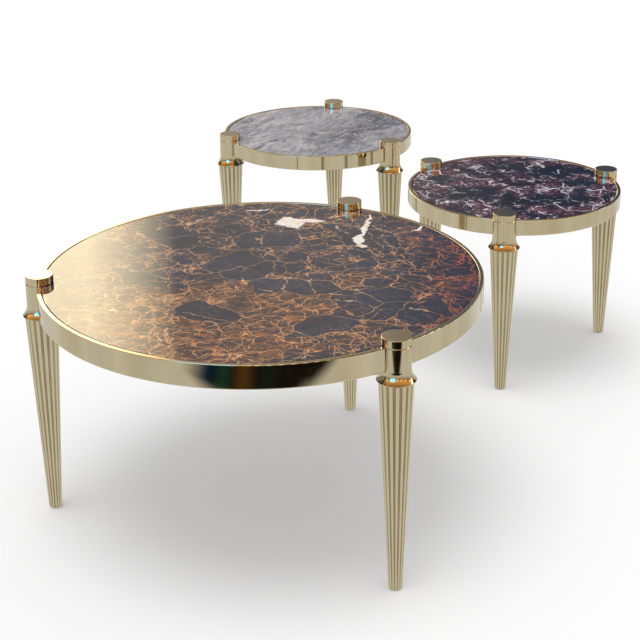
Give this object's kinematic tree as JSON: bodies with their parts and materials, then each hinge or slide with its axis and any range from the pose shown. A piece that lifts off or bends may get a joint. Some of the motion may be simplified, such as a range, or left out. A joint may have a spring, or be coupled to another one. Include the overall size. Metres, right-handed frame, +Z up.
{
  "type": "nesting tables",
  "caption": "Round nesting tables with stone tops set in polished brass rims on fluted, tapered legs; the lower tables slide in under the higher one.",
  "frame": {"origin": "on the floor under the middle of the set's bounding box, with the small tables drawn out", "axes": "+Z up; +Y from the large table towards the small ones, away from the front; +X to the right of a viewer at the front"},
  "size_m": [1.2214, 1.8138, 0.4645],
  "materials": {
    "brass": "polished, pale champagne tone",
    "marble_brown": "polished",
    "marble_grey": "polished",
    "marble_navy": "polished",
    "frame_paint": "satin black powder coat",
    "screw_steel": "zinc plated",
    "pad_rubber": "matt",
    "glide_plastic": "matt"
  },
  "bodies": {
    "large_table": {"large_marble_top": "marble_brown", "large_rim_ring": "brass", "large_support_frame": "frame_paint", "large_slab_pads": "pad_rubber", "large_cap_studs": "screw_steel", "large_leg_studs": "screw_steel", "large_rim_screws": "screw_steel", "large_frame_screws": "screw_steel", "large_foot_glides": "glide_plastic", "large_leg_1_cap": "brass", "large_leg_1_collar": "brass", "large_leg_1_shaft": "brass", "large_leg_2_cap": "brass", "large_leg_2_collar": "brass", "large_leg_2_shaft": "brass", "large_leg_3_cap": "brass", "large_leg_3_collar": "brass", "large_leg_3_shaft": "brass"},
    "rear_table": {"rear_marble_top": "marble_grey", "rear_rim_ring": "brass", "rear_support_frame": "frame_paint", "rear_slab_pads": "pad_rubber", "rear_cap_studs": "screw_steel", "rear_leg_studs": "screw_steel", "rear_rim_screws": "screw_steel", "rear_frame_screws": "screw_steel", "rear_foot_glides": "glide_plastic", "rear_leg_1_cap": "brass", "rear_leg_1_collar": "brass", "rear_leg_1_shaft": "brass", "rear_leg_2_cap": "brass", "rear_leg_2_collar": "brass", "rear_leg_2_shaft": "brass", "rear_leg_3_cap": "brass", "rear_leg_3_collar": "brass", "rear_leg_3_shaft": "brass"},
    "side_table": {"side_marble_top": "marble_navy", "side_rim_ring": "brass", "side_support_frame": "frame_paint", "side_slab_pads": "pad_rubber", "side_cap_studs": "screw_steel", "side_leg_studs": "screw_steel", "side_rim_screws": "screw_steel", "side_frame_screws": "screw_steel", "side_foot_glides": "glide_plastic", "side_leg_1_cap": "brass", "side_leg_1_collar": "brass", "side_leg_1_shaft": "brass", "side_leg_2_cap": "brass", "side_leg_2_collar": "brass", "side_leg_2_shaft": "brass", "side_leg_3_cap": "brass", "side_leg_3_collar": "brass", "side_leg_3_shaft": "brass"}
  },
  "joints": [
    {"name": "rear_table_slide", "type": "slide", "parent": "large_table", "child": "rear_table", "axis": [-0.2924, -0.9563, 0], "range_m": [0, 0.98]},
    {"name": "side_table_slide", "type": "slide", "parent": "large_table", "child": "side_table", "axis": [-0.2419, -0.9703, 0], "range_m": [0, 0.72]}
  ]
}
